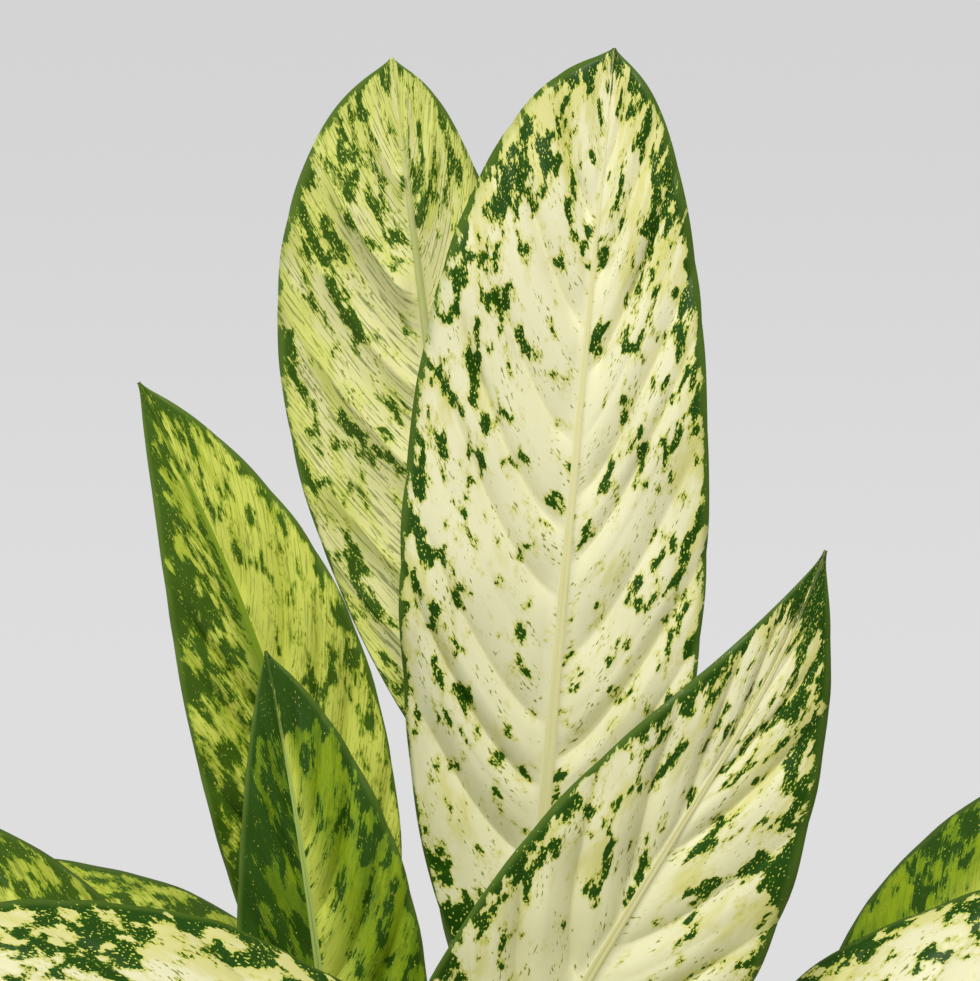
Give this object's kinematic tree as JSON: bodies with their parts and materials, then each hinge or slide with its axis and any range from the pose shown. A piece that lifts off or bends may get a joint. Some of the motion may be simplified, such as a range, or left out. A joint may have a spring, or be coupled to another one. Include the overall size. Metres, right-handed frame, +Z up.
{
  "type": "potted dieffenbachia",
  "caption": "Potted dumb cane: cream and green variegated leaves on upright stems, standing in soil in a plain round pot.",
  "frame": {"origin": "middle of the pot's flat underside", "axes": "+Z up the plant, +X to the right and +Y away from a viewer who faces the front"},
  "size_m": [0.5388, 0.5349, 0.5791],
  "materials": {
    "pot": "matte",
    "soil": "matte",
    "stem": "satin",
    "leaf_cream": "satin",
    "leaf_green": "satin"
  },
  "bodies": {
    "root": {"pot": "pot", "potting_soil": "soil", "stem_centre": "stem", "stem_left": "stem", "stem_right": "stem", "stem_back": "stem", "leaf_tall_front": "leaf_cream", "leaf_tall_back": "leaf_green", "leaf_left_upright": "leaf_green", "leaf_left_young": "leaf_green", "leaf_front_right": "leaf_cream", "leaf_left_front": "leaf_cream", "leaf_left_spreading": "leaf_green", "leaf_left_back": "leaf_green", "leaf_right_spreading": "leaf_green", "leaf_right_front": "leaf_cream", "leaf_back_upright": "leaf_green", "leaf_mid_front": "leaf_cream", "leaf_mid_front_left": "leaf_green", "leaf_mid_front_right": "leaf_cream", "leaf_mid_right_back": "leaf_green", "leaf_mid_back": "leaf_green", "leaf_mid_back_left": "leaf_cream", "leaf_mid_back_right": "leaf_green", "leaf_low_front": "leaf_green", "leaf_low_front_left": "leaf_cream", "leaf_low_front_right": "leaf_green", "leaf_low_left_front": "leaf_green", "leaf_low_left": "leaf_green", "leaf_low_left_back": "leaf_cream", "leaf_low_right": "leaf_cream", "leaf_low_right_back": "leaf_green", "leaf_low_back_left": "leaf_green", "leaf_low_back_right": "leaf_cream"}
  },
  "joints": []
}
